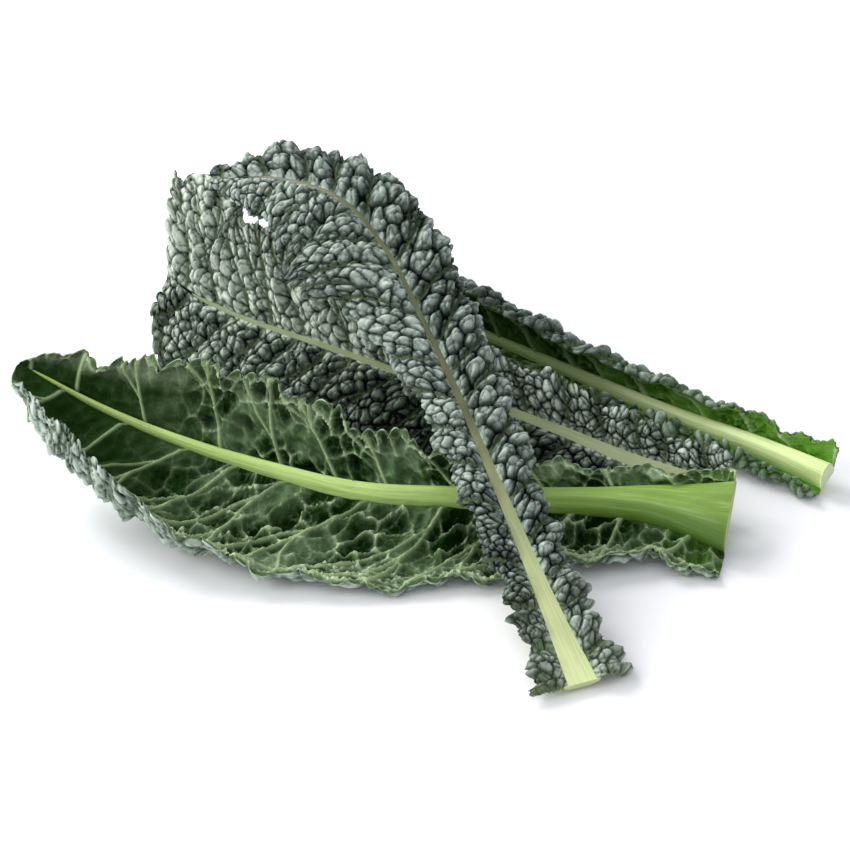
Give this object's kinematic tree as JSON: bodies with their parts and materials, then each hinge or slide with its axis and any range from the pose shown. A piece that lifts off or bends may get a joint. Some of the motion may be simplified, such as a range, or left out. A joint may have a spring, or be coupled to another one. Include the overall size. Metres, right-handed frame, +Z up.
{
  "type": "lacinato kale bunch",
  "caption": "Loose bunch of trimmed lacinato kale: long blistered blue-green leaves with pale midribs, some upside down, one arched over the others.",
  "frame": {"origin": "middle of the bunch's bounding box, on the floor it lies on", "axes": "+Z up; +X along the bunch towards the cut ends of the lower leaves; +Y away from the side that the picture looks from"},
  "size_m": [0.2879, 0.2608, 0.0849],
  "materials": {
    "leaf_upper_green": "waxy matt blue-green with a grey bloom",
    "leaf_under_green": "satin mid green with pale raised veins",
    "midrib_green": "satin yellow-green with fine lengthwise ridges",
    "midrib_pale": "satin cream-green, olive towards the tip"
  },
  "bodies": {
    "root": {"front_leaf_blade": "leaf_under_green", "front_leaf_midrib": "midrib_green", "back_leaf_blade": "leaf_upper_green", "back_leaf_midrib": "midrib_pale", "rear_leaf_blade": "leaf_under_green", "rear_leaf_midrib": "midrib_pale", "top_leaf_blade": "leaf_upper_green", "top_leaf_midrib": "midrib_pale"}
  },
  "joints": []
}
